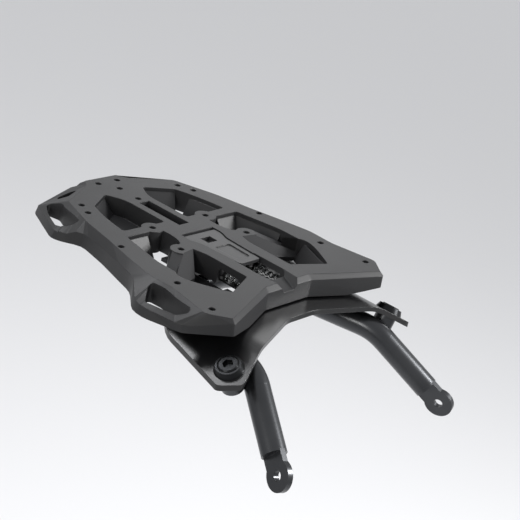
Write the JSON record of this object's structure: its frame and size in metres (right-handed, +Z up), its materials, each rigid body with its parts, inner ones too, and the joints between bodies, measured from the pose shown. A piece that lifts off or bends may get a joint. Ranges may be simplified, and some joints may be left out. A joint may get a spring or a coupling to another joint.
{
  "type": "top case mounting plate",
  "caption": "Moulded luggage rack plate with open wells and a quick release lever, on a folded steel adapter and a tube bow.",
  "frame": {"origin": "midway between the two front case holes, on the flat top of the plate", "axes": "+Z up out of the flat top, +Y to the motorcycle's rear, +X across to the right when seen from above with the rear up"},
  "size_m": [0.2626, 0.3623, 0.1061],
  "materials": {
    "moulded": "glass filled nylon, fine moulded grain",
    "lever_moulded": "glass filled nylon, satin",
    "black_sheet": "satin black powder coat",
    "black_tube": "glossy black paint",
    "dark_screw": "black oxide",
    "zinc_steel": "zinc plated",
    "pad_rubber": "matte"
  },
  "bodies": {
    "plate": {"rack_plate": "moulded", "lever_pin": "zinc_steel", "slide_spring_left": "zinc_steel", "slide_spring_right": "zinc_steel", "slide_cover": "black_sheet", "cover_screws": "zinc_steel", "front_hook": "zinc_steel", "hook_screws": "zinc_steel", "rest_pad_front_left": "pad_rubber", "rest_pad_front_right": "pad_rubber", "rest_pad_rear_left": "pad_rubber", "rest_pad_rear_right": "pad_rubber", "adapter_plate": "black_sheet", "wing_screw_left": "dark_screw", "wing_screw_right": "dark_screw", "wing_collar_left": "dark_screw", "wing_collar_right": "dark_screw", "tube_boss_left": "black_tube", "tube_boss_right": "black_tube", "support_bow": "black_tube", "bow_lug_left": "black_tube", "bow_lug_right": "black_tube"},
    "lever": {"release_lever": "lever_moulded"},
    "slide": {"lock_slide": "zinc_steel"}
  },
  "joints": [
    {"name": "lever_hinge", "type": "hinge", "parent": "plate", "child": "lever", "pos_m": [0, 0.061, -0.0055], "axis": [-1, 0, 0], "range_deg": [0, 40]},
    {"name": "lock_slide_travel", "type": "slide", "parent": "plate", "child": "slide", "axis": [0, -1, 0], "range_m": [0, 0.0076], "stiffness_N_per_m": 1200, "springref_m": -0.005, "deforming": ["slide_spring_left", "slide_spring_right"]}
  ],
  "couplings": [
    {"joint": "lever_hinge", "follows": "lock_slide_travel", "rad_per_m": 90.9}
  ]
}
